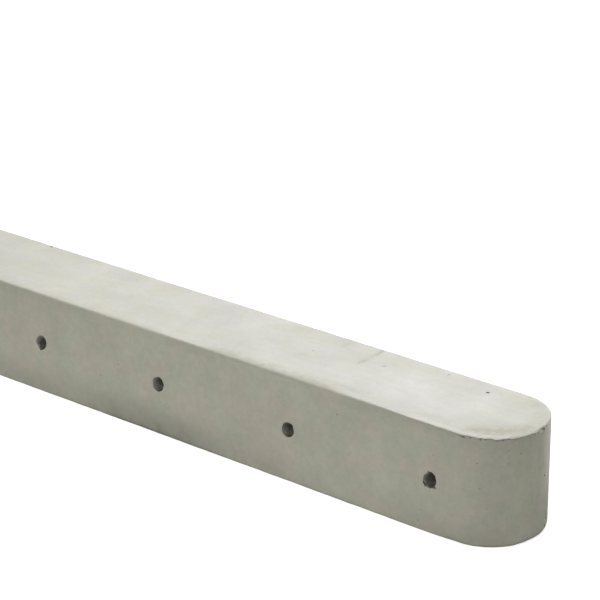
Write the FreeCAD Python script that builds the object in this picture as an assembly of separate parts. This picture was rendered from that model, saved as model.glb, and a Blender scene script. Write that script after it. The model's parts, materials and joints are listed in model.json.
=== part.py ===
import FreeCAD, Part
import os

# Precast concrete fence post with a half-round head and a row of cast wire holes.
# It lies on its moulded bed face, as it leaves the mould: X runs from the foot to the head,
# Y runs across the post, and Z points up to the trowelled face.
# The origin is in the middle of the bed face's outline.

# Driving dimensions, in millimetres
POST_LENGTH = 2000.0  # from the foot to the crown of the head
SECTION_WIDTH = 100.0  # across the post
SECTION_HEIGHT = 100.0  # from the bed face to the trowelled face
TROWELLED_ARRIS = 1.5  # radius of the edges round the trowelled face
MOULDED_ARRIS = 2.0  # radius of the edges round the bed face
FOOT_ARRIS = 1.5  # radius of the edges round the foot
WIRE_HOLE_DIAMETER = 14.0  # each hole runs right through, from side to side
FIRST_HOLE_FROM_CROWN = 74.0  # from the crown to the axis of the nearest hole
WIRE_HOLE_PITCH = 154.0  # from one hole's axis to the next
BURIED_LENGTH = 500.0  # stands in the ground, so it has no wire holes

# Places that follow from them
head_radius = SECTION_WIDTH / 2
crown_x = POST_LENGTH / 2
foot_x = -POST_LENGTH / 2
head_axis_x = crown_x - head_radius
ground_x = foot_x + BURIED_LENGTH
hole_height = SECTION_HEIGHT / 2


def rounded_corner(corner, before, after, radius):
    """The arc that rounds a square corner, with the points where it leaves both sides."""
    start = corner + (before - corner).normalize() * radius
    end = corner + (after - corner).normalize() * radius
    centre = start + end - corner
    middle = centre + (corner - centre).normalize() * radius
    return start, Part.Arc(start, middle, end).toShape(), end


def half_section(x):
    """Half of the cross-section at x, from the middle of the post to its +Y side."""
    bed_middle = FreeCAD.Vector(x, 0, 0)
    bed_corner = FreeCAD.Vector(x, SECTION_WIDTH / 2, 0)
    top_corner = FreeCAD.Vector(x, SECTION_WIDTH / 2, SECTION_HEIGHT)
    top_middle = FreeCAD.Vector(x, 0, SECTION_HEIGHT)
    bed_end, bed_arc, side_start = rounded_corner(bed_corner, bed_middle, top_corner, MOULDED_ARRIS)
    side_end, top_arc, top_start = rounded_corner(top_corner, bed_corner, top_middle, TROWELLED_ARRIS)
    outline = Part.Wire([
        Part.makeLine(bed_middle, bed_end),
        bed_arc,
        Part.makeLine(side_start, side_end),
        top_arc,
        Part.makeLine(top_start, top_middle),
        Part.makeLine(top_middle, bed_middle),
    ])
    return Part.Face(outline)


def shaft():
    """The straight length, drawn as half of the section and mirrored."""
    half = half_section(foot_x).extrude(FreeCAD.Vector(head_axis_x - foot_x, 0, 0))
    other_half = half.mirror(FreeCAD.Vector(0, 0, 0), FreeCAD.Vector(0, 1, 0))
    return half.fuse(other_half)


def half_round_head():
    """Half of the section turned about the head's upright axis, tangent to both sides of the shaft."""
    axis_foot = FreeCAD.Vector(head_axis_x, 0, 0)
    return half_section(head_axis_x).revolve(axis_foot, FreeCAD.Vector(0, 0, -1), 180)


def with_foot_arris(body):
    """Round the edges of the flat end that stands in the ground, by less than the arrises it meets."""
    radius = min(FOOT_ARRIS, 0.9 * MOULDED_ARRIS, 0.9 * TROWELLED_ARRIS)
    foot_face = min(body.Faces, key=lambda face: face.CenterOfMass.x)
    return body.makeFillet(radius, foot_face.Edges)


def wire_holes():
    """The pins that leave the holes, evenly spaced from the head down to the ground line."""
    pins = []
    x = crown_x - FIRST_HOLE_FROM_CROWN
    while x > ground_x:
        start = FreeCAD.Vector(x, -SECTION_WIDTH, hole_height)
        across = FreeCAD.Vector(0, 1, 0)
        pins.append(Part.makeCylinder(WIRE_HOLE_DIAMETER / 2, 2 * SECTION_WIDTH, start, across))
        x -= WIRE_HOLE_PITCH
    return pins


cast_body = shaft().fuse(half_round_head()).removeSplitter()
post = with_foot_arris(cast_body.Solids[0]).cut(wire_holes())

os.makedirs("parts", exist_ok=True)
post.Solids[0].exportStep("parts/post.step")
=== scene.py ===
import json
import math
import random

import bmesh
import bpy
import numpy as np
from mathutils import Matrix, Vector, noise

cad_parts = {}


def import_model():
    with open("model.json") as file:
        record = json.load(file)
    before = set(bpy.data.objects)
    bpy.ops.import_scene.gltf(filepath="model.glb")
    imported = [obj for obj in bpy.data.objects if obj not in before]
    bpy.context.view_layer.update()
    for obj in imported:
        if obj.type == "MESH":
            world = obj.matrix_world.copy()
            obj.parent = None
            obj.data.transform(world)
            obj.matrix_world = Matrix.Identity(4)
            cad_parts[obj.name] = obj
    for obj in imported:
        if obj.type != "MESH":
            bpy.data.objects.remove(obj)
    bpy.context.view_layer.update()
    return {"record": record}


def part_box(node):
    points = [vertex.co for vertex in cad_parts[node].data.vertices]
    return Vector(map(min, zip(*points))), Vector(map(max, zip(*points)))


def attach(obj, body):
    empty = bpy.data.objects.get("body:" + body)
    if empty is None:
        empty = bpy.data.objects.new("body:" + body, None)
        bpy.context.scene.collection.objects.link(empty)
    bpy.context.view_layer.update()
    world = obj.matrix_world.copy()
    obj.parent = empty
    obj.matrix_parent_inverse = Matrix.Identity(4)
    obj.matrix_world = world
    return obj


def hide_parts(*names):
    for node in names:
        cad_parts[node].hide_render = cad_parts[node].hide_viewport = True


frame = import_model()

# A precast concrete fence post, lying on its bed face with its half-round head towards +X.
# Its surface is swept once round the post: half of the section runs along the front side,
# round the head and back along the other side. Everything is in metres.
MM = 0.001
TINY = 1e-9  # keeps a division from meeting zero

# The post, as the frame has it
low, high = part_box("post")
foot_x, crown_x = low.x, high.x
half_width = (high.y - low.y) / 2
height = high.z - low.z
head_x = crown_x - half_width
wire_holes = [mount for mount in frame["record"]["mounts"] if mount["kind"] == "bore"]
hole_stops = sorted(mount["pos_m"][0] for mount in wire_holes)
hole_z = wire_holes[0]["pos_m"][2]
hole_radius = wire_holes[0]["dims"]["r_mm"] * MM

# Rounded edges of the cast body
TROWELLED_ARRIS = 1.5 * MM
MOULDED_ARRIS = 2 * MM
FOOT_ARRIS = 0.9 * TROWELLED_ARRIS
HOLE_RIM = 0.4 * MM

# How closely the surface is divided
TOP_ARRIS_STEPS = 5
BED_ARRIS_STEPS = 4
FOOT_ARRIS_STEPS = 3
RIM_STEPS = 3
HEAD_STEPS = 128
TOP_STEP = 6 * MM  # in the middle of the top
EDGE_STEP = 1.5 * MM  # beside an arris
BED_STEP = 10 * MM  # in the middle of the bed face
HOLE_BLOCK = 13 * MM  # half the side of the square patch round each hole
HOLE_BLOCK_STEPS = 8
FINE_STEP = 3.25 * MM  # along the post, near the head
COARSE_STEP = 8 * MM  # along the post, near the foot
FINE_FROM_X = crown_x - 680 * MM
FACE_SHARES = (0.35, 0.6, 0.8, 0.92)  # rings between a hole's square patch and its mouth
BORE_DEPTHS = (2 * MM, 4 * MM, 7 * MM, 11 * MM, 16 * MM, 23 * MM, 33 * MM)  # from each mouth
FOOT_SHARES = (0.96, 0.88, 0.75, 0.58, 0.4, 0.2)  # rings on the flat foot

# Marks that the photograph shows. Distances from the crown, across and up are in millimetres, and
# angles round the head are in degrees from the front side. The last two numbers of a pit or chip
# are its radius and how dark the painted shade in its hollow is.
TOP_PITS = (
    (76.4, 31.5, 1.5, 1.0),
    (125.4, 41.4, 1.6, 0.5),
    (178.7, 19.5, 2.0, 0.2),
    (248.6, 7, 1.2, 0.3),
    (161, -12.4, 1.0, 0.25),
    (620, 46.8, 1.6, 0.9),
)
FRONT_PITS = (
    (173, 79, 1.1, 0.4),
    (70, 71, 1.4, 0.25),
    (457, 38, 1.4, 0.2),
    (78.5, 90, 1.3, 0.2),
    (421, 19, 1.5, 0.14),
    (82, 18, 1.4, 0.06),
    (84.5, 8, 1.5, 0.15),
    (433.5, 54.5, 1.6, 0.08),
    (380.5, 32, 1.3, 0.15),
    (418, 72.5, 0.9, 0.2),
    (517.5, 89.5, 0.8, 0.25),
    (218, 32.5, 1.4, 0.13),
)
HEAD_PITS = (
    (67.5, 82.2, 1.3, 0.3),
    (55, 74.6, 1.9, 0.08),
    (46, 72.5, 1.0, 0.12),
    (101.7, 53.7, 1.0, 0.75),
    (35, 35, 1.4, 0.05),
    (19, 26.5, 1.4, 0.1),
    (20.5, 6, 0.9, 0.2),
    (108, 6, 1.2, 0.5),
    (110, 12, 1.3, 0.6),
    (110.5, 15.5, 1.4, 0.6),
)
HEAD_EDGE_CHIPS = (
    (5.5, 96.4, 1.1, 0.1),
    (7.5, 96.2, 1.2, 0.15),
    (9.5, 96.2, 1.2, 0.25),
    (11.5, 96.2, 1.1, 0.3),
    (18, 96.9, 0.8, 0.4),
    (27.5, 96.6, 0.9, 0.45),
    (32.5, 96.9, 0.8, 0.35),
    (42.5, 96.3, 0.8, 0.25),
    (48.5, 96.2, 0.8, 0.4),
    (94.5, 97.9, 1.0, 0.15),
    (96.8, 97.3, 1.2, 0.4),
    (98, 96, 1.0, 0.5),
    (94.8, 93.6, 0.8, 0.3),
    (102, 98, 0.9, 0.3),
)
HEAD_CRUMBS = (  # pale crumbs that cling to the head: angle, height and radius
    (85, 95.8, 1.1),
    (88, 97.4, 1.0),
    (90.5, 96.4, 1.3),
    (93, 95.4, 1.1),
)
BACK_ARRIS_CHIPS = (  # out of the top's back edge: place and radius
    (622, 2.4),
    (129, 1.6),
)

# The front mouths of the holes, from the nearest hole on: how far each lies off its axis, along the
# post and up, and how far its wall leans in behind it
FRONT_MOUTHS = (
    (0.5, -0.9, 2.5),
    (-0.7, -0.85, 0),
    (-1.6, -0.8, 0),
    (0.5, -0.2, 2.2),
)
MOUTH_CHIPS = (  # out of their rims: the hole's number, place from its axis, radius and darkness
    (0, -5.6, -5.5, 1.4, 1.0),
    (0, -4.6, -6.5, 1.4, 1.0),
    (0, -3.4, -7.2, 1.4, 0.8),
    (0, -4.0, -8.2, 1.2, 0.4),
    (0, -1.8, -7.6, 1.3, 0.7),
    (0, 0.8, -7.8, 1.4, 0.7),
    (0, 3.2, -7.0, 1.3, 0.7),
    (0, 5.2, -6.2, 1.5, 0.9),
    (0, 5.9, -7.2, 1.2, 0.4),
    (0, -0.6, 5.0, 1.4, 0.9),
    (3, -1.2, -7.4, 1.1, 0.8),
)
MOUTH_CRUMBS = (  # they cling inside: the hole's number, place, radius and how far in they reach
    (0, -4.6, -4.4, 0.8, 1.3),
    (0, -4.6, 5.0, 2.6, 1.1),
    (0, 4.4, 4.4, 2.2, 0.6),
    (3, 3.0, -6.5, 2.2, 0.5),
    (3, -5.0, -4.8, 2.0, 0.8),
)
LEANS_FROM = np.array((-0.7, 0, 0.7))  # the side of a hole where its wall leans in
LEAN_DEPTHS = (0, 4 * MM, 10 * MM, 25 * MM)  # where the lean starts, is full, starts to fade and ends

# Trowel marks on the top
SMEARS = (  # start, end and strength
    ((202, 47.5), (200, 11.5), 0.5),  # across the post, from its back edge
    ((237, 46), (235.5, 30), 0.3),  # beside it
    ((186, -37), (160, -39), 0.55),  # along the front edge
)
SMEAR_REACH = 3
STROKES = (  # scratches in the first smear: start, end and darkness
    ((202, 47.5), (199, 34.5), 0.2),
    ((198.4, 21), (200, 11.5), 0.1),
)
STROKE_RADIUS = 2.0

# Wear, tones, and painted light and shade. A middle comes with a reach to both sides, and a stretch has
# four stops: where it starts, is full, starts to fade and ends. They are in millimetres from the crown
# or, round the head, in degrees.
WORN_ARRIS = (  # where the front arris is rounder and greyer: its stretch and strength
    (157, 192, 307, 337, 1.0),
    (350, 385, 685, 715, 0.38),
)
PALE_STRETCH = (5, 65, 250, 620)  # where the top is whiter
PALE_PATCH = (125, -17, 75, 28)  # a whiter patch in it: middle along and across, and reach of both
LOW_SHADE_PATCHES = (  # painted shade along the bottom of the front, in patches: middle, reach and strength
    (390, 92, 1.0),
    (65, 50, 0.45),
    (250, 26, 0.35),
    (550, 90, 0.4),
)
SEAM_SHADOW = (400, 110)  # the darkest part of the bottom edge, a painted contact shadow
GREY_BEND = (56, 26)  # a greyer part where the front runs into the head
KNOCKED_CORNER = (47, 13)  # a knocked part of the bottom edge, there too
RAGGED_TURN = (2, 8, 165, 175)  # where the head's top edge is ragged
KNOCKED_TURN = (58, 82, 115, 140)  # where the head's bottom edge is knocked
BED_SHADE_GAP_TURN = (40, 60, 95, 112)  # where the painted shade along the bed is mostly left off the head
LIT_HEAD_TURN = (35, 75, 96, 108)  # where the head is lighter: painted light where light falls on its turn
GREY_TURN = (97, 107, 130, 150)  # where the bottom of the head is greyer

# The trowelled skin hangs over the edge of the head as a thin ragged lip
LIP_DEPTH = 2.6 * MM
LIP_OVERHANG = 0.9 * MM
LIP_FROM = (160, 85)  # where it starts and has grown, in millimetres from the crown
LIP_GROWS = (12, 45)  # where it grows again, in degrees round the head
LIP_UNTIL = (94, 82)  # where it is gone, and where it is still whole
LIP_NOTCH = (36, 3)  # where a bit of it has broken off: middle and reach, in degrees

# Unevenness, as layers of bumps: their height and width in millimetres, and a number that sets
# one layer apart from another
FACE_WAVES = ((0.22, 110, 1), (0.10, 24, 2), (0.05, 6, 3))
BORE_WAVES = ((0.22, 5, 4), (0.15, 2.2, 5))
ARRIS_WAVES = ((0.35, 13, 7), (0.2, 5, 8))  # heights at the foot, and less along the other edges
LIP_WAVES = ((0.25, 6, 12), (0.3, 2.6, 10), (0.15, 1.4, 11))  # heights as shares of its depth
SCOOP_WAVES = ((0.22, 1.1), (0.18, 2.3))  # heights as shares of a pit's radius
SCOOP_LIMIT = 1.6  # no rough ball reaches further than this share of its radius
HOLLOW_DEPTHS = (0.03, 0.35)  # the painted shade in a hollow darkens between these depths, as shares of its radius

# Marks elsewhere, so that every side is weathered alike
SEED = 11
LOOSE_PITS = 70
LOOSE_NICKS = 60


def graded(start, end, first_step, last_step):
    """Stops from start to end, with a spacing that goes evenly from first_step to last_step."""
    count = max(1, round(2 * abs(end - start) / (first_step + last_step)))
    steps = np.linspace(first_step, last_step, count)
    shares = np.concatenate([[0.0], np.cumsum(steps)]) / steps.sum()
    return start + (end - start) * shares


def quarter_turn(steps):
    """Angles from 0 to a right angle, without the first."""
    return np.linspace(0, math.pi / 2, steps + 1)[1:]


def section_profile():
    """Half of the section, from the middle of the top to the middle of the bed.

    Each stop is (distance out, height, outward direction in that plane). Also gives the stops
    between which the patches for the holes lie.
    """
    out = half_width
    stops = [(r, height, (0, 1)) for r in graded(0, out - TROWELLED_ARRIS, TOP_STEP, EDGE_STEP)]
    for angle in quarter_turn(TOP_ARRIS_STEPS):
        turn = (math.sin(angle), math.cos(angle))
        r = out - TROWELLED_ARRIS * (1 - turn[0])
        z = height - TROWELLED_ARRIS * (1 - turn[1])
        stops.append((r, z, turn))
    patch_top, patch_bottom = hole_z + HOLE_BLOCK, hole_z - HOLE_BLOCK
    patch_step = 2 * HOLE_BLOCK / HOLE_BLOCK_STEPS
    for z in graded(height - TROWELLED_ARRIS, patch_top, EDGE_STEP, patch_step)[1:]:
        stops.append((out, z, (1, 0)))
    first = len(stops) - 1
    for z in np.linspace(patch_top, patch_bottom, HOLE_BLOCK_STEPS + 1)[1:]:
        stops.append((out, z, (1, 0)))
    last = len(stops) - 1
    for z in graded(patch_bottom, MOULDED_ARRIS, patch_step, EDGE_STEP)[1:]:
        stops.append((out, z, (1, 0)))
    for angle in quarter_turn(BED_ARRIS_STEPS):
        turn = (math.cos(angle), -math.sin(angle))
        r = out - MOULDED_ARRIS * (1 - turn[0])
        z = MOULDED_ARRIS * (1 + turn[1])
        stops.append((r, z, turn))
    for r in graded(out - MOULDED_ARRIS, 0, EDGE_STEP, BED_STEP)[1:]:
        stops.append((r, 0.0, (0, -1)))
    return stops, first, last


def between(start, end):
    """Even stops after start up to end, closer together near the head."""
    step = FINE_STEP if end > FINE_FROM_X else COARSE_STEP
    return list(graded(start, end, step, step)[1:])


def leg_stops():
    """Stops along the straight sides, from the foot to the head, and where each hole's patch starts."""
    stops = [foot_x + FOOT_ARRIS]
    patches = []
    for x in hole_stops:
        stops += between(stops[-1], x - HOLE_BLOCK)
        patches.append(len(stops) - 1)
        stops += list(np.linspace(x - HOLE_BLOCK, x + HOLE_BLOCK, HOLE_BLOCK_STEPS + 1)[1:])
    stops += between(stops[-1], head_x)
    return stops, patches


class Skin:
    """Points and faces of the surface while it is put together."""

    def __init__(self):
        self.points = []
        self.faces = []

    def add(self, point):
        self.points.append(point)
        return len(self.points) - 1

    def face(self, *corners):
        """A face. A corner that comes twice, at the middle of the head, counts once."""
        self.faces.append(tuple(dict.fromkeys(corners)))

    def bridge(self, ring, next_ring):
        """Faces between two closed rings with as many points."""
        for here, there in zip(range(len(ring)), [*range(1, len(ring)), 0]):
            self.face(ring[here], ring[there], next_ring[there], next_ring[here])


def sweep(skin, profile, stops):
    """Rows of points: along the front side, round the head, and back along the other side."""
    front = [[skin.add((x, -r, z)) for r, z, _ in profile] for x in stops]
    inner = profile[1:-1]
    top_pole, bed_pole = front[-1][0], front[-1][-1]
    head = []
    for angle in np.linspace(0, math.pi, HEAD_STEPS + 1)[1:-1]:
        row = [skin.add((head_x + r * math.sin(angle), -r * math.cos(angle), z)) for r, z, _ in inner]
        head.append([top_pole, *row, bed_pole])
    back = []
    for x, twin in zip(stops, front):
        row = [skin.add((x, r, z)) for r, z, _ in inner]
        back.append([twin[0], *row, twin[-1]])
    return front, head, back


def skin_rows(skin, front, head, back, patches, first, last):
    """Faces between the rows, leaving out the patch round each end of each hole."""
    rows = front + head + back[::-1]
    open_cells = set()
    for start in patches:
        for i in range(start, start + HOLE_BLOCK_STEPS):
            open_cells.add(i)
            open_cells.add(len(rows) - 2 - i)
    for i, (row, next_row) in enumerate(zip(rows, rows[1:])):
        for k in range(len(row) - 1):
            if i in open_cells and first <= k < last:
                continue
            skin.face(row[k], row[k + 1], next_row[k + 1], next_row[k])


def patch_edge(rows, start, first, last):
    """The closed ring of points round a hole's patch, on one side of the post."""
    end = start + HOLE_BLOCK_STEPS
    ring = [rows[i][first] for i in range(start, end)]
    ring += [rows[end][k] for k in range(first, last)]
    ring += [rows[i][last] for i in range(end, start, -1)]
    ring += [rows[start][k] for k in range(last, first, -1)]
    return ring


def bore(skin, front_ring, back_ring, x):
    """The surface of one hole, from its patch on the front side to its patch on the back."""
    offsets = [np.array((skin.points[i][0] - x, skin.points[i][2] - hole_z)) for i in front_ring]
    rounds = [offset / np.linalg.norm(offset) for offset in offsets]
    rim_angles = [0.0, *quarter_turn(RIM_STEPS)]
    rings = [(share, hole_radius + HOLE_RIM, 0.0) for share in FACE_SHARES]
    for angle in rim_angles:
        radius = hole_radius + HOLE_RIM * (1 - math.sin(angle))
        rings.append((1.0, radius, HOLE_RIM * (1 - math.cos(angle))))
    rings += [(1.0, hole_radius, depth) for depth in BORE_DEPTHS]
    middle = [(1.0, hole_radius, half_width)]
    across = [(share, radius, depth - half_width) for share, radius, depth in rings + middle]
    across += [(share, radius, half_width - depth) for share, radius, depth in reversed(rings)]
    previous = front_ring
    for share, radius, y in across:
        ring = []
        for offset, direction in zip(offsets, rounds):
            dx, dz = offset + share * (radius * direction - offset)
            ring.append(skin.add((x + dx, y, hole_z + dz)))
        skin.bridge(previous, ring)
        previous = ring
    skin.bridge(previous, back_ring)


def foot_cap(skin, profile, front_row, back_row):
    """The rounded edge and the flat end of the foot, as rings round its middle."""
    outline = [(-r, z, -turn[0], turn[1]) for r, z, turn in profile]
    outline += [(r, z, turn[0], turn[1]) for r, z, turn in profile[-2:0:-1]]
    previous = front_row + back_row[-2:0:-1]
    for angle in quarter_turn(FOOT_ARRIS_STEPS):
        inset = FOOT_ARRIS * (1 - math.cos(angle))
        x = foot_x + FOOT_ARRIS * (1 - math.sin(angle))
        ring = [skin.add((x, y - inset * ny, z - inset * nz)) for y, z, ny, nz in outline]
        skin.bridge(previous, ring)
        previous = ring
    rim = [skin.points[i] for i in previous]
    middle = height / 2
    for share in FOOT_SHARES:
        ring = [skin.add((foot_x, share * y, middle + share * (z - middle))) for _, y, z in rim]
        skin.bridge(previous, ring)
        previous = ring
    centre = skin.add((foot_x, 0, middle))
    for here, there in zip(previous, previous[1:] + previous[:1]):
        skin.face(here, there, centre)


def cast_body():
    """The whole surface as it leaves the mould, before chips, pits and wear, as a bmesh."""
    skin = Skin()
    profile, first, last = section_profile()
    stops, patches = leg_stops()
    front, head, back = sweep(skin, profile, stops)
    skin_rows(skin, front, head, back, patches, first, last)
    for x, start in zip(hole_stops, patches):
        front_ring = patch_edge(front, start, first, last)
        back_ring = patch_edge(back, start, first, last)
        bore(skin, front_ring, back_ring, x)
    foot_cap(skin, profile, front[0], back[0])
    body = bmesh.new()
    corners = [body.verts.new(point) for point in skin.points]
    for face in skin.faces:
        body.faces.new([corners[i] for i in face])
    unused = [corner for corner in corners if not corner.link_faces]
    bmesh.ops.delete(body, geom=unused, context="VERTS")
    bmesh.ops.recalc_face_normals(body, faces=body.faces)
    return body


# Places on the post, each as a point and the direction out of the surface there

def on_top(from_crown, across):
    return np.array((crown_x - from_crown * MM, across * MM, height)), np.array((0.0, 0.0, 1.0))


def on_side(from_crown, up, side):
    point = np.array((crown_x - from_crown * MM, side * half_width, up * MM))
    return point, np.array((0.0, side, 0.0))


def on_head(degrees, up):
    angle = math.radians(degrees)
    out = np.array((math.sin(angle), -math.cos(angle), 0.0))
    return np.array((head_x, 0, up * MM)) + half_width * out, out


def on_arris(point, out, top):
    """The top or bottom edge at a place on the side, with the direction between its two faces."""
    edge = point.copy()
    edge[2] = height if top else 0.0
    up = np.array((0.0, 0.0, 1.0 if top else -1.0))
    return edge, (out + up) / math.sqrt(2)


def in_mouth(hole, dx, dz):
    """A point just inside the front mouth of a hole, given from its axis."""
    return np.array((hole_stops[-1 - hole] + dx * MM, MM - half_width, hole_z + dz * MM))


class Scoop:
    """A small hollow where concrete is missing: a rough ball taken out of the surface.

    lift is how far the ball's centre lies outside the surface, as a share of its radius.
    """

    def __init__(self, place, radius, lift, dark=0.7):
        point, out = place
        self.radius = radius * MM
        self.centre = point + out * self.radius * lift
        self.dark = dark


# A higher lift leaves a shallower hollow
CHIP_LIFT = 0.1
BACK_CHIP_LIFT = -0.1
LOOSE_PIT_LIFT = 0.25
LOOSE_NICK_LIFT = -0.15


def pit(place, radius, dark):
    """A round pit, shallower where it is fainter."""
    return Scoop(place, radius, 0.7 - 0.6 * dark, dark)


def stroke(start, end, dark):
    """A scratch in the top, shallower where it is fainter, as a row of overlapping hollows."""
    start, end = np.array(start), np.array(end)
    count = math.ceil(np.linalg.norm(end - start) / (1.2 * STROKE_RADIUS))
    lift = 0.85 - 0.75 * dark
    stops = [start + (end - start) * share for share in np.linspace(0, 1, count + 1)]
    return [Scoop(on_top(*stop), STROKE_RADIUS, lift, dark) for stop in stops]


def photographed_scoops():
    """The pits and chips that the photograph shows."""
    scoops = [pit(on_top(x, y), r, dark) for x, y, r, dark in TOP_PITS]
    scoops += [pit(on_side(x, z, -1), r, dark) for x, z, r, dark in FRONT_PITS]
    scoops += [pit(on_head(a, z), r, dark) for a, z, r, dark in HEAD_PITS]
    scoops += [Scoop(on_head(a, z), r, CHIP_LIFT, dark) for a, z, r, dark in HEAD_EDGE_CHIPS]
    for start, end, dark in STROKES:
        scoops += stroke(start, end, dark)
    for from_crown, radius in BACK_ARRIS_CHIPS:
        scoops.append(Scoop(on_arris(*on_side(from_crown, 0, 1), True), radius, BACK_CHIP_LIFT))
    for hole, dx, dz, radius, dark in MOUTH_CHIPS:
        from_crown = (crown_x - hole_stops[-1 - hole]) / MM - dx
        scoops.append(Scoop(on_side(from_crown, hole_z / MM + dz, -1), radius, CHIP_LIFT, dark))
    return scoops


def loose_scoops(draw):
    """Pits and nicks of the same kind on the stretches that the photograph doesn't show."""
    hidden_from = (crown_x - FINE_FROM_X) / MM
    back_from = 60
    foot = (crown_x - foot_x) / MM
    last_pit = foot - 10
    last_nick = foot - 4
    across = (-40, 40)
    up = (8, 92)
    scoops = []
    for _ in range(LOOSE_PITS):
        radius = draw.uniform(0.7, 1.3)
        face = draw.choice(("top", "front", "back", "back"))
        if face == "top":
            place = on_top(draw.uniform(hidden_from, last_pit), draw.uniform(*across))
        elif face == "front":
            place = on_side(draw.uniform(hidden_from, last_pit), draw.uniform(*up), -1)
        else:
            place = on_side(draw.uniform(back_from, last_pit), draw.uniform(*up), 1)
        scoops.append(Scoop(place, radius, LOOSE_PIT_LIFT, draw.uniform(0.25, 0.7)))
    for _ in range(LOOSE_NICKS):
        radius = draw.uniform(1.2, 2.6)
        side = draw.choice((-1, 1))
        start = hidden_from if side < 0 else back_from
        place = on_side(draw.uniform(start, last_nick), 0, side)
        scoops.append(Scoop(on_arris(*place, draw.random() < 0.6), radius, LOOSE_NICK_LIFT))
    return scoops


# Finer mesh near the details

REFINE_PASSES = 4
SPLIT_OVER = 1.4  # an edge is split when it is this much longer than wanted
WIDENING = 0.5  # how fast the wanted edge length grows away from a detail
SHOWN_FINENESS = 0.3  # edge length at a photographed pit or chip, as a share of its radius
LOOSE_FINENESS = 0.4  # the same at the others
DETAIL_STEP = 0.5 * MM  # edge length at the lip and at the crumbs
SCOOP_REACH = 1.1  # how far the fine mesh goes round a pit or chip, in shares of its radius
CRUMB_REACH = 1.5  # the same round a crumb
LIP_REACH = 3 * MM  # the same round a stop on the lip
LIP_STOP_GAP = 2  # between those stops, in millimetres on the side and degrees round the head
LIP_STOPS_END = 104  # degrees round the head
LIP_STOP_DEPTH = 1.5 * MM  # below the top


def refine(body, spots):
    """Split edges until they are short enough for the details near them.

    Each spot is (centre, reach, edge length wanted within that reach).
    """
    for _ in range(REFINE_PASSES):
        edges = list(body.edges)
        ends = np.array([(*edge.verts[0].co, *edge.verts[1].co) for edge in edges])
        middles = (ends[:, :3] + ends[:, 3:]) / 2
        lengths = np.linalg.norm(ends[:, :3] - ends[:, 3:], axis=1)
        wanted = np.full(len(edges), np.inf)
        for centre, reach, step in spots:
            beyond = np.maximum(np.linalg.norm(middles - centre, axis=1) - reach, 0)
            wanted = np.minimum(wanted, step + WIDENING * beyond)
        long_edges = [edges[i] for i in np.flatnonzero(lengths > SPLIT_OVER * wanted)]
        if not long_edges:
            break
        bmesh.ops.subdivide_edges(
            body, edges=long_edges, cuts=1, use_grid_fill=True, use_single_edge=True
        )
    many_sided = [face for face in body.faces if len(face.verts) > 4]
    bmesh.ops.triangulate(body, faces=many_sided)


def scoop_spots(scoops, fineness):
    return [
        (scoop.centre, SCOOP_REACH * scoop.radius, fineness * scoop.radius)
        for scoop in scoops
    ]


def lip_spots():
    """Stops along the lip, first on the front side and then round the head."""
    up = (height - LIP_STOP_DEPTH) / MM
    places = [on_side(x, up, -1) for x in np.arange(LIP_FROM[0], half_width / MM, -LIP_STOP_GAP)]
    places += [on_head(degrees, up) for degrees in np.arange(0, LIP_STOPS_END, LIP_STOP_GAP)]
    return [(point, LIP_REACH, DETAIL_STEP) for point, _ in places]


def crumb_spots():
    return [
        (in_mouth(*place), CRUMB_REACH * radius * MM, DETAIL_STEP)
        for *place, radius, _ in MOUTH_CRUMBS
    ]


# Shares from 0 to 1

def ramp(values, start, end):
    """0 before start and 1 after end, with a smooth change between them."""
    share = np.clip((values - start) / (end - start), 0, 1)
    return share * share * (3 - 2 * share)


def plateau(values, start, full, fading, end):
    """1 between full and fading, and 0 before start and after end."""
    return ramp(values, start, full) * ramp(values, end, fading)


def bump(values, middle, reach):
    """1 at the middle, falling off smoothly to both sides."""
    return np.exp(-(((values - middle) / reach) ** 2))


def lumps(points, middles, radii):
    """For each of some rounded lumps, how much of it lies at each point."""
    return [
        bump(np.linalg.norm(points - middle, axis=1), 0, radius * MM)
        for middle, radius in zip(middles, radii)
    ]


def ripple(points, size, salt):
    """Smooth noise from about -1 to 1 at each point, with bumps about as wide as size."""
    shift = Vector((salt, 2 * salt, 3 * salt))
    return np.array([noise.noise(Vector(point) / size + shift) for point in points])


def waves(points, layers):
    """Layers of ripples, added up."""
    return sum(tall * ripple(points, wide * MM, salt) for tall, wide, salt in layers)


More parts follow.
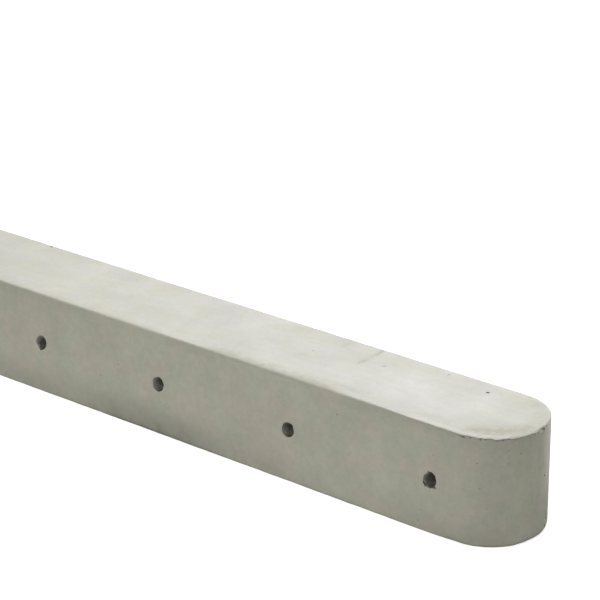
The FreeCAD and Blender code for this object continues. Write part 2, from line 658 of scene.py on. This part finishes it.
class Places:
    """Where each point of the cast body lies: how deep, how far along and by which hole."""

    def __init__(self, points):
        x, y, z = points.T
        beyond = np.maximum(x - head_x, 0)
        reach = np.hypot(beyond, y)
        self.side_depth = half_width - reach
        self.top_depth = height - z
        self.bed_depth = z
        self.foot_depth = x - foot_x
        self.from_crown = (crown_x - x) / MM
        self.across = y / MM
        self.front = y < 0
        safe = np.maximum(reach, TINY)
        self.out = np.stack([beyond / safe, y / safe, np.zeros_like(y)], 1)
        self.turn = np.degrees(np.arctan2(beyond, -y))
        self.find_hole(x, z)
        self.worn = sum(
            strength * plateau(self.from_crown, *stops) * self.front for *stops, strength in WORN_ARRIS
        )
        self.find_lip(points)
        self.find_crumbs(points)

    def find_hole(self, x, z):
        """The nearest hole, counted from the head, the way from its axis, and what lies inside it."""
        stops = np.array(hole_stops)
        nearest = np.abs(x[:, None] - stops).argmin(1)
        self.hole_number = len(stops) - 1 - nearest
        self.hole_dx = x - stops[nearest]
        self.hole_dz = z - hole_z
        self.hole_reach = np.hypot(self.hole_dx, self.hole_dz)
        self.in_bore = self.hole_reach < hole_radius + 0.7 * HOLE_RIM
        self.in_bore &= self.side_depth > 0.02 * MM

    def find_lip(self, points):
        """How strong the lip is, and how far down it each point lies, with its ragged edge at 1."""
        self.lip = 0.6 * ramp(self.from_crown, *LIP_FROM) + 0.4 * ramp(self.turn, *LIP_GROWS)
        self.lip *= ramp(self.turn, *LIP_UNTIL)
        uneven = waves(points, LIP_WAVES) - 0.35 * bump(self.turn, *LIP_NOTCH)
        self.below_lip = self.top_depth / np.maximum(LIP_DEPTH * (1 + uneven) * self.lip, 0.01 * MM)
        self.on_lip = ramp(self.below_lip, 1.08, 0.92)

    def find_crumbs(self, points):
        """Where crumbs cling, in the holes' mouths and on the head, and how far the first reach in."""
        middles = [in_mouth(hole, dx, dz) for hole, dx, dz, _, _ in MOUTH_CRUMBS]
        in_mouths = lumps(points, middles, [crumb[3] for crumb in MOUTH_CRUMBS])
        self.crumb = np.max(in_mouths, axis=0)
        self.crumb_push = sum(crumb[4] * MM * lump for crumb, lump in zip(MOUTH_CRUMBS, in_mouths))
        on_edge = [on_head(degrees, up)[0] for degrees, up, _ in HEAD_CRUMBS]
        self.pale_crumb = np.max(lumps(points, on_edge, [crumb[2] for crumb in HEAD_CRUMBS]), axis=0)


# Casting, trowelling and handling move the points of the cast body. Each step is given those points
# as they have become, and as they were cast.

def roughen(points, cast, normals, places):
    """The faces wave a little, and the walls of the holes are rougher."""
    points += normals * (MM * waves(cast, FACE_WAVES) * ~places.in_bore)[:, None]
    points += normals * (MM * waves(cast, BORE_WAVES) * places.in_bore)[:, None]


def front_mouths(places):
    """How far the front mouth of each point's hole lies off the axis, and how far its wall leans in."""
    mouths = np.zeros((len(hole_stops), 3))
    mouths[:len(FRONT_MOUTHS)] = np.array(FRONT_MOUTHS) * MM
    along, up, lean = (mouths[places.hole_number] * places.front[:, None]).T
    return np.stack([along, np.zeros_like(along), up], 1), lean


def crumble_mouths(points, cast, places):
    """The holes' mouths crumble unevenly, most on one slant, and the front ones lie off their axes."""
    reach = np.maximum(places.hole_reach, TINY)
    spread = np.stack([places.hole_dx, np.zeros_like(reach), places.hole_dz], 1) / reach[:, None]
    from_rim = np.hypot(places.hole_reach - hole_radius, places.side_depth)
    upright = (places.hole_dz / reach) ** 2
    slant = places.hole_dx * places.hole_dz / reach ** 2
    uneven = np.maximum(ripple(cast, 4.5 * MM, 6), -0.3)
    lost = MM * (-0.3 + 0.3 * upright + 0.7 * slant + 0.6 * uneven)
    near = bump(from_rim, 0, 1.6 * MM) * (places.hole_reach < 2 * hole_radius)
    points += spread * (near * lost - places.crumb_push)[:, None]
    points -= places.out * (0.5 * near * np.maximum(lost, 0))[:, None]
    off_axis, lean = front_mouths(places)
    points += off_axis * bump(from_rim, 0, 2.5 * MM)[:, None]
    lean *= plateau(places.side_depth, *LEAN_DEPTHS) * places.in_bore
    points -= spread * (lean * np.maximum(spread @ LEANS_FROM, 0))[:, None]


def wear_arris(points, places, depth_a, depth_b, inward, worn, reach):
    """Round an edge off unevenly. depth_a and depth_b are the depths behind its two faces."""
    near = bump(np.hypot(depth_a, depth_b), 0, reach) * ~places.in_bore
    points += inward * (near * worn)[:, None]


def wear_edges(points, cast, places):
    """Worn arrises: ragged at the head's top, knocked at its bottom, rounder along the front."""
    up = np.array((0.0, 0.0, 1.0))
    along = np.array((1.0, 0.0, 0.0))
    uneven = waves(cast, ARRIS_WAVES)
    ragged = plateau(places.turn, *RAGGED_TURN) * ripple(cast, 2.6 * MM, 9)
    corner = bump(places.from_crown, *KNOCKED_CORNER) * (places.turn < 40)
    knocked = np.maximum(corner, plateau(places.turn, *KNOCKED_TURN))
    top_worn = MM * (0.1 + 0.6 * uneven + 0.45 * ragged + 0.4 * places.lip)
    bed_worn = MM * (0.15 + 0.7 * uneven + knocked)
    foot_worn = MM * (0.3 + uneven)
    side, top, bed, foot = places.side_depth, places.top_depth, places.bed_depth, places.foot_depth
    top_in = -(places.out + up) / math.sqrt(2)
    bed_in = (up - places.out) / math.sqrt(2)
    wear_arris(points, places, side, top, top_in, top_worn, 2.2 * MM)
    wear_arris(points, places, side, bed, bed_in, bed_worn, 3.2 * MM)
    for depth, inward in ((side, along - places.out), (top, along - up), (bed, along + up)):
        wear_arris(points, places, depth, foot, inward / math.sqrt(2), foot_worn, 3.2 * MM)
    wear_arris(points, places, side, top, top_in, 0.4 * MM * places.worn, 4 * MM)


def hang_lip(points, places):
    """The lip stands out further down to its ragged edge, and crumbs cling beside it."""
    hang = places.lip * np.clip(places.below_lip, 0, 1) * ramp(places.below_lip, 1.2, 1)
    hang *= ramp(places.side_depth, 3 * MM, 1 * MM)
    points += places.out * (LIP_OVERHANG * hang + 0.4 * MM * places.pale_crumb)[:, None]


def scoop_out(points, scoops):
    """Move the points out of every pit and chip. Gives the painted shade of its hollow at each point."""
    hollow = np.zeros(len(points))
    for number, scoop in enumerate(scoops):
        reach = np.linalg.norm(points - scoop.centre, axis=1)
        close = np.flatnonzero(reach < SCOOP_LIMIT * scoop.radius)
        rough = waves(points[close], [(*layer, number) for layer in SCOOP_WAVES])
        limit = scoop.radius * (1 + rough)
        inside = reach[close] < limit
        hit, limit = close[inside], limit[inside]
        away = points[hit] - scoop.centre
        moved = scoop.centre + away * (limit / np.maximum(reach[hit], TINY))[:, None]
        depth = np.linalg.norm(moved - points[hit], axis=1) / scoop.radius
        hollow[hit] = np.maximum(hollow[hit], scoop.dark * ramp(depth, *HOLLOW_DEPTHS))
        points[hit] = moved
    return hollow


def weather(points, normals, places, scoops):
    """All of that in turn. Gives the painted shade in the hollows."""
    cast = points.copy()
    roughen(points, cast, normals, places)
    crumble_mouths(points, cast, places)
    wear_edges(points, cast, places)
    hang_lip(points, places)
    hollow = scoop_out(points, scoops)
    points[:, 2] = np.maximum(points[:, 2], 0)
    return hollow


# Tones of the concrete, and painted light and shade, as the share of each at every point. First those of
# the trowelled top.

def trowelled_tone(places):
    """The trowelled skin itself, thinner on the worn arris."""
    top = ramp(places.top_depth, 0.7 * MM, 0.1 * MM)
    skin = np.maximum.reduce([top, places.on_lip, places.pale_crumb])
    return skin * (1 - 0.5 * places.worn * ramp(places.side_depth, 4 * MM, 1 * MM))


def smear(places, start, end):
    """The soft smear that a trowel leaves on both sides of a line."""
    start, end = np.array(start), np.array(end)
    spots = np.stack([places.from_crown, places.across], 1) - start
    along = end - start
    share = np.clip(spots @ along / (along @ along), 0, 1)
    return bump(np.linalg.norm(spots - share[:, None] * along, axis=1), 0, SMEAR_REACH)


def edge_shade_and_smear_tone(places):
    """Painted shade in bands, inside the head's edge and along the worn arris, as if the top's margin
    sloped down there, and the trowel's greyer smears.
    """
    turn = places.turn
    depth = MM * (9 - 2 * ramp(turn, 52, 75))
    clear_edge = MM * (2.5 + 5 * ramp(turn, 50, 30))
    band = bump(places.side_depth, depth, 9 * MM) * ramp(places.side_depth, 0, clear_edge)
    strength = 0.35 * ramp(places.from_crown, 125, 85) * (turn < 90)
    strength += 0.65 * ramp(turn, 1, 16)
    strength *= 1 + 0.2 * bump(turn, 68, 14)
    strength *= (1 - 0.5 * ramp(turn, 78, 98)) * ramp(turn, 138, 122)
    strength += 0.4 * bump(turn, 152, 14)
    # Painted shade along the worn front arris
    front_band = 0.9 * bump(places.side_depth, 0, 11 * MM) * places.worn
    smears = sum(share * smear(places, start, end) for start, end, share in SMEARS)
    return np.maximum.reduce([band * strength, front_band, smears])


def pale_tone(places, points):
    """Whiter parts: towards the head, in one patch, and drifting beyond what the photograph shows."""
    middle, across, length, width = PALE_PATCH
    patch = bump(places.from_crown, middle, length) * bump(places.across, across, width)
    pale = 0.38 * plateau(places.from_crown, *PALE_STRETCH) + 0.55 * patch
    drift = np.clip(0.5 * ripple(points, 120 * MM, 21), 0, 1) * ramp(places.from_crown, 600, 800)
    return np.maximum(pale, drift)


def lip_tone(places):
    """The pale lip, fainter from the middle of the head on, and the pale crumbs."""
    rounding = 0.5 * ramp(places.side_depth, 2.5 * MM, 0.7 * MM)
    lip = np.maximum(ramp(places.below_lip, 0, 0.35), rounding)
    lip *= places.lip * places.on_lip * (1 - 0.65 * ramp(places.turn, 52, 72))
    return np.maximum(lip, 0.9 * places.pale_crumb)


# Then those of the moulded sides and the holes

def bed_shade(places, points):
    """Painted shade along the bed, darker towards the bottom: in a few patches on the front, unevenly
    elsewhere, and darkest along part of the bottom edge as a painted contact shadow.
    """
    up = places.bed_depth
    share = 0.3 * np.clip(0.5 + 1.2 * ripple(points, 45 * MM, 22), 0, 1)
    share *= np.maximum(ramp(places.from_crown, 600, 700), ~places.front)
    for middle, reach, strength in LOW_SHADE_PATCHES:
        share = np.maximum(share, strength * bump(places.from_crown, middle, reach) * places.front)
    lighter_foot = 0.6 * ramp(up, 6 * MM, 2 * MM) * ramp(share, 0.6, 0.4)
    share *= ramp(up, 36 * MM, 3 * MM) * (1 - lighter_foot)
    # Painted contact shadow along the bottom edge
    share += 0.4 * ramp(up, 5 * MM, 1.5 * MM) * bump(places.from_crown, *SEAM_SHADOW) * places.front
    return share * (1 - 0.9 * plateau(places.turn, *BED_SHADE_GAP_TURN))


def greyer_and_under_edge_shade(places):
    """Greyer parts of the sides: by the head, far along, painted shade under the top edge, and greyer
    low on the head.
    """
    up = places.bed_depth
    far = ramp(places.from_crown, 430, 520)
    # Painted shade under the top edge
    under_edge_shade = ramp(places.top_depth, 13 * MM, 4 * MM) * ramp(places.turn, 30, 15)
    under_edge_shade *= 1 - 0.8 * places.worn * (1 - far)
    share = 0.2 * bump(places.from_crown, *GREY_BEND) + 0.12 * ramp(up, 60 * MM, 95 * MM) * far
    share += 0.18 * under_edge_shade
    share *= places.front * ramp(places.foot_depth, 2 * MM, 80 * MM)
    return share + 0.28 * plateau(places.turn, *GREY_TURN) * ramp(up, 48 * MM, 26 * MM)


def stain_and_shade_tone(places, points):
    """Painted shade along the bed and greyer parts of the sides, a greyer top far along, and dirt on the
    worn arris.
    """
    on_sides = ramp(places.top_depth, 0.1 * MM, 0.7 * MM)
    far_top = 0.11 * ramp(places.from_crown, 500, 590) * (1 - on_sides)
    dirt = 0.45 * bump(np.hypot(places.side_depth, places.top_depth), 0, 3.2 * MM) * places.worn
    return np.maximum(np.maximum(bed_shade(places, points), greyer_and_under_edge_shade(places)) * on_sides + far_top, dirt)


# Painted light: the head is lighter and greener over part of its turn, where light falls on it
def lit_head_tone(places):
    return 0.4 * plateau(places.turn, *LIT_HEAD_TURN) * (1 - 0.5 * bump(places.turn, 94, 9))


def painted_light_tone(places):
    """Painted light: painted rim light round the back of the head and on the back, painted bounce light
    low on the head, and on the walls of the holes that face the head.
    """
    turn, up = places.turn, places.bed_depth
    round_foot = np.maximum(ramp(places.foot_depth, 0, 2 * MM), ramp(places.across, 0, 45))
    # Painted rim light round the back of the head and on the back, fading low down
    dry = 0.8 * ramp(turn, 94, 112) * (1 - 0.4 * ramp(turn, 118, 150))
    dry *= ramp(up, 25 * MM, 75 * MM) * round_foot
    # Painted bounce light low on the head
    dry += 0.4 * bump(turn, 79, 16) * ramp(up, 22 * MM, 4 * MM)
    # Painted bounce light on the walls of the holes that face the head
    wall_bounce_light = ramp(-places.hole_dx, 0.2 * hole_radius, 0.9 * hole_radius)
    return dry + 0.9 * places.in_bore * wall_bounce_light


def bore_shade_tone(places):
    """Painted shade inside the holes, with some damp: darker low down and towards the head, and fainter
    deep inside.
    """
    inside = places.in_bore * ramp(places.side_depth, -0.3 * MM, 0.3 * MM) * (1 - 0.6 * places.crumb)
    inside *= 1 - 0.8 * ramp(places.side_depth, 3 * MM, 12 * MM)
    return inside * (0.6 + (0.25 * places.hole_dx - 0.5 * places.hole_dz) / hole_radius)


def tones(places, points):
    trowelled = trowelled_tone(places)
    return {
        "trowelled": trowelled,
        "edging": trowelled * edge_shade_and_smear_tone(places),
        "pale": trowelled * pale_tone(places, points),
        "lip": lip_tone(places),
        "stain": stain_and_shade_tone(places, points),
        "bleached": lit_head_tone(places),
        "dry": painted_light_tone(places),
        "bore": bore_shade_tone(places),
    }


def read_vectors(values, name, count):
    """Vectors of a mesh's points, as rows of an array."""
    numbers = np.empty(count * 3)
    values.foreach_get(name, numbers)
    return numbers.reshape(-1, 3)


def make_post():
    """The weathered post as one mesh object, which carries the shares of its tones."""
    shown = photographed_scoops()
    loose = loose_scoops(random.Random(SEED))
    spots = scoop_spots(shown, SHOWN_FINENESS) + scoop_spots(loose, LOOSE_FINENESS)
    spots += lip_spots() + crumb_spots()
    body = cast_body()
    refine(body, spots)
    mesh = bpy.data.meshes.new("post_cast")
    body.to_mesh(mesh)
    body.free()
    count = len(mesh.vertices)
    points = read_vectors(mesh.vertices, "co", count)
    normals = read_vectors(mesh.vertex_normals, "vector", count)
    places = Places(points)
    shares = tones(places, points)
    shares["hollow"] = weather(points, normals, places, shown + loose)
    mesh.vertices.foreach_set("co", points.ravel())
    mesh.update()
    mesh.shade_smooth()
    for name, values in shares.items():
        layer = mesh.attributes.new(name, "FLOAT", "POINT")
        layer.data.foreach_set("value", values.astype(np.float32))
    post = bpy.data.objects.new("post_cast", mesh)
    bpy.context.scene.collection.objects.link(post)
    return post


# Concrete

GREEN_GREY = (0.400, 0.410, 0.330, 1)
WARM_GREY = (0.429, 0.404, 0.337, 1)
CREAM = (0.442, 0.443, 0.413, 1)
BUFF = (0.4525, 0.443, 0.379, 1)
CHALK = (0.495, 0.491, 0.466, 1)
# Painted shade in bands by the top's edges, and the trowel's smears
EDGE_SHADE_AND_SMEAR_GREY = (0.360, 0.346, 0.290, 1)
# Stains, and painted shade along the bed and under the top edge
STAIN_AND_SHADE_GREY = (0.215, 0.205, 0.170, 1)
# Painted light on the head's turn
LIT_HEAD_GREEN = (0.474, 0.500, 0.380, 1)
# Painted rim light and bounce light
PAINTED_LIGHT_GREY = (0.540, 0.535, 0.480, 1)
LAITANCE = (0.600, 0.588, 0.530, 1)
# Pores, and painted shade in pits, chips, scratches and holes
PORE_AND_SHADE_GREY = (0.043, 0.042, 0.022, 1)
GRAIN_DEPTH = 0.25 * MM
NOISE_ROUGHNESS = 0.6


class Shader:
    """A material's nodes, added and joined by short calls. A value is a number, a colour or a socket."""

    def __init__(self, name):
        self.material = bpy.data.materials.new(name)
        self.material.use_nodes = True
        self.tree = self.material.node_tree
        self.surface = self.tree.nodes["Principled BSDF"]
        self.place = self.tree.nodes.new("ShaderNodeTexCoord").outputs["Object"]

    def join(self, value, socket):
        if isinstance(value, bpy.types.NodeSocket):
            self.tree.links.new(value, socket)
        else:
            socket.default_value = value

    def math(self, operation, a, b):
        made = self.tree.nodes.new("ShaderNodeMath")
        made.operation = operation
        self.join(a, made.inputs[0])
        self.join(b, made.inputs[1])
        return made.outputs[0]

    def ramp(self, value, start, end, low=0.0, high=1.0):
        """low before start and high after end, with a smooth change between them."""
        made = self.tree.nodes.new("ShaderNodeMapRange")
        made.interpolation_type = "SMOOTHSTEP"
        for socket, given in zip(made.inputs, (value, start, end, low, high)):
            self.join(given, socket)
        return made.outputs["Result"]

    def stretched(self, stretch, shift):
        made = self.tree.nodes.new("ShaderNodeMapping")
        made.inputs["Scale"].default_value = [1 / share for share in stretch]
        made.inputs["Location"].default_value = [shift] * 3
        self.join(self.place, made.inputs["Vector"])
        return made.outputs["Vector"]

    def noise(self, size, detail, shift, stretch=(1, 1, 1)):
        """Soft noise from 0 to 1, with patches about as wide as size."""
        made = self.tree.nodes.new("ShaderNodeTexNoise")
        self.join(self.stretched(stretch, shift), made.inputs["Vector"])
        made.inputs["Scale"].default_value = 1 / size
        made.inputs["Detail"].default_value = detail
        made.inputs["Roughness"].default_value = NOISE_ROUGHNESS
        return made.outputs["Fac"]

    def specks(self, size, shift):
        """Distance from points about size apart, in shares of it, and a random colour for each point."""
        made = self.tree.nodes.new("ShaderNodeTexVoronoi")
        self.join(self.stretched((1, 1, 1), shift), made.inputs["Vector"])
        made.inputs["Scale"].default_value = 1 / size
        return made.outputs["Distance"], made.outputs["Color"]

    def share(self, name):
        """One of the mesh's own shares, such as how hollow it is."""
        made = self.tree.nodes.new("ShaderNodeAttribute")
        made.attribute_name = name
        return made.outputs["Fac"]

    def mix(self, share, first, second):
        made = self.tree.nodes.new("ShaderNodeMix")
        made.data_type = "RGBA"
        self.join(share, made.inputs[0])
        self.join(first, made.inputs[6])
        self.join(second, made.inputs[7])
        return made.outputs[2]

    def uneven(self, colour, pattern, amount, spread=0.25):
        """A colour that a pattern makes lighter and darker by up to amount, over a spread round 0.5."""
        factor = self.ramp(pattern, 0.5 - spread, 0.5 + spread, 1 - amount, 1 + amount)
        made = self.tree.nodes.new("ShaderNodeVectorMath")
        made.operation = "SCALE"
        self.join(colour, made.inputs[0])
        self.join(factor, made.inputs["Scale"])
        return made.outputs[0]

    def bump(self, height, depth):
        made = self.tree.nodes.new("ShaderNodeBump")
        made.inputs["Distance"].default_value = depth
        self.join(height, made.inputs["Height"])
        return made.outputs["Normal"]


def moulded_colour(look):
    """The sides: greener and warmer greys, with painted light on the head, on the back and in the holes.
    """
    tint = look.ramp(look.noise(22 * MM, 5, 4), 0.42, 0.58)
    colour = look.mix(tint, GREEN_GREY, WARM_GREY)
    # Painted light on the head's turn
    colour = look.mix(look.share("bleached"), colour, LIT_HEAD_GREEN)
    # Painted rim light on the back, and painted bounce light low on the head and in the holes
    colour = look.mix(look.share("dry"), colour, PAINTED_LIGHT_GREY)
    return look.uneven(colour, look.noise(7 * MM, 4, 12), 0.03, spread=0.14)


def trowelled_colour(look):
    """The top: cream and buff, with chalky parts, faint lengthwise strokes, bands of painted shade, grey
    smears and the lip.
    """
    tint = look.ramp(look.noise(26 * MM, 5, 9), 0.36, 0.64)
    colour = look.mix(tint, CREAM, BUFF)
    clouding = look.ramp(look.noise(50 * MM, 4, 6, stretch=(2, 1, 1)), 0.4, 0.7, -0.15, 0.3)
    colour = look.mix(look.math("ADD", look.share("pale"), clouding), colour, CHALK)
    colour = look.uneven(colour, look.noise(6 * MM, 3, 5, stretch=(14, 1, 1)), 0.015)
    patchy = look.ramp(look.noise(6 * MM, 5, 7), 0.32, 0.65, 0.4, 1.15)
    # Painted shade in bands by the edges, and the trowel's smears
    colour = look.mix(look.math("MULTIPLY", look.share("edging"), patchy), colour, EDGE_SHADE_AND_SMEAR_GREY)
    return look.mix(look.share("lip"), colour, LAITANCE)


def concrete():
    """Grey cast concrete: mottled moulded sides, a paler trowelled top, dark pores and stains, and
    painted light and shade.
    """
    look = Shader("cast_concrete")
    colour = look.mix(look.share("trowelled"), moulded_colour(look), trowelled_colour(look))

    # Unevenness that runs over every face
    mottle = look.noise(34 * MM, 5, 2)
    grain = look.noise(2.2 * MM, 3, 3)
    colour = look.uneven(colour, look.noise(160 * MM, 3, 1), 0.035)
    colour = look.uneven(colour, mottle, 0.055)
    colour = look.uneven(colour, look.noise(7 * MM, 4, 10), 0.02)
    colour = look.uneven(colour, grain, 0.035, spread=0.3)

    # Pores, stains with painted shade, and painted shade in pits, chips and holes
    distance, kind = look.specks(9 * MM, 8)
    pore = look.math("MULTIPLY", look.ramp(distance, 0.10, 0.04), look.ramp(kind, 0.62, 0.72))
    colour = look.mix(look.math("MULTIPLY", pore, 0.3), colour, PORE_AND_SHADE_GREY)
    # Stains, with painted shade along the bed and under the top edge
    stain = look.math("MULTIPLY", look.share("stain"), look.ramp(mottle, 0.3, 0.7, 0.5, 1.0))
    colour = look.mix(stain, colour, STAIN_AND_SHADE_GREY)
    # Painted shade in pits, chips, scratches and holes
    dark = look.math("MAXIMUM", look.share("hollow"), look.share("bore"))
    colour = look.mix(look.math("MULTIPLY", dark, 0.92), colour, PORE_AND_SHADE_GREY)

    look.join(colour, look.surface.inputs["Base Color"])
    look.join(look.ramp(mottle, 0.25, 0.75, 0.84, 0.94), look.surface.inputs["Roughness"])
    look.surface.inputs["Specular IOR Level"].default_value = 0.3
    relief = look.math("SUBTRACT", look.math("MULTIPLY", grain, 0.5), pore)
    look.join(look.bump(relief, GRAIN_DEPTH), look.surface.inputs["Normal"])
    return look.material


post = make_post()
post.data.materials.append(concrete())
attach(post, "root")
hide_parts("post")

# Floor, light and camera

FLOOR_SIZE = 200.0
FLOOR_GREY = 0.4
FLOOR_GLOW = 0.75  # keeps the floor white in the picture, and lights nothing
WORLD_LIGHT = 0.15
SUNS = (  # name, strength, spread, tilt and heading
    ("overhead", 3.5, 90, 14, 205),
    ("front_fill", 0.55, 60, 60, 235),
    ("back_light", 1.7, 30, 75, 2),
)
SENSOR_WIDTH = 36
LENS = 147.3
CAMERA_PLACE = (2.0492, -1.5084, 0.9014)
CAMERA_DOWN = 20.70  # degrees below level
CAMERA_TURN = 40.91  # degrees from looking along +Y, to the left


def camera_only(tree, strength):
    """A strength that only the camera sees."""
    path = tree.nodes.new("ShaderNodeLightPath")
    times = tree.nodes.new("ShaderNodeMath")
    times.operation = "MULTIPLY"
    tree.links.new(path.outputs["Is Camera Ray"], times.inputs[0])
    times.inputs[1].default_value = strength
    return times.outputs[0]


def studio():
    """A wide pale floor under the post."""
    floor_mesh = bpy.data.meshes.new("floor")
    half = FLOOR_SIZE / 2
    corners = [(-half, -half, 0), (half, -half, 0), (half, half, 0), (-half, half, 0)]
    floor_mesh.from_pydata(corners, [], [(0, 1, 2, 3)])
    floor = bpy.data.objects.new("floor", floor_mesh)
    bpy.context.scene.collection.objects.link(floor)
    material = bpy.data.materials.new("pale_floor")
    material.use_nodes = True
    tree = material.node_tree
    shader = tree.nodes["Principled BSDF"]
    shader.inputs["Base Color"].default_value = (FLOOR_GREY, FLOOR_GREY, FLOOR_GREY, 1)
    shader.inputs["Roughness"].default_value = 1.0
    shader.inputs["Specular IOR Level"].default_value = 0.0
    shader.inputs["Emission Color"].default_value = (1, 1, 1, 1)
    tree.links.new(camera_only(tree, FLOOR_GLOW), shader.inputs["Emission Strength"])
    floor.data.materials.append(material)


def soft_sun(name, strength, spread, tilt, heading):
    """A broad soft light from far away, tilted from overhead.

    heading is the side that it comes from, clockwise from +Y as seen from above. Angles are in degrees.
    """
    light = bpy.data.lights.new(name, "SUN")
    light.energy = strength
    light.angle = math.radians(spread)
    lamp = bpy.data.objects.new(name, light)
    lamp.rotation_euler = (math.radians(tilt), 0, math.radians(180 - heading))
    bpy.context.scene.collection.objects.link(lamp)


def world():
    """White to the camera, and a faint even light for everything else."""
    made = bpy.data.worlds.new("studio")
    made.use_nodes = True
    tree = made.node_tree
    background = tree.nodes["Background"]
    background.inputs["Color"].default_value = (1, 1, 1, 1)
    total = tree.nodes.new("ShaderNodeMath")
    tree.links.new(camera_only(tree, 1 - WORLD_LIGHT), total.inputs[0])
    total.inputs[1].default_value = WORLD_LIGHT
    tree.links.new(total.outputs[0], background.inputs["Strength"])
    bpy.context.scene.world = made


def camera():
    data = bpy.data.cameras.new("camera")
    data.sensor_width = SENSOR_WIDTH
    data.lens = LENS
    data.clip_end = FLOOR_SIZE
    made = bpy.data.objects.new("camera", data)
    made.location = CAMERA_PLACE
    made.rotation_euler = (math.radians(90 - CAMERA_DOWN), 0, math.radians(CAMERA_TURN))
    bpy.context.scene.collection.objects.link(made)
    bpy.context.scene.camera = made


studio()
for sun in SUNS:
    soft_sun(*sun)
world()
camera()
bpy.context.scene.view_settings.view_transform = "Standard"
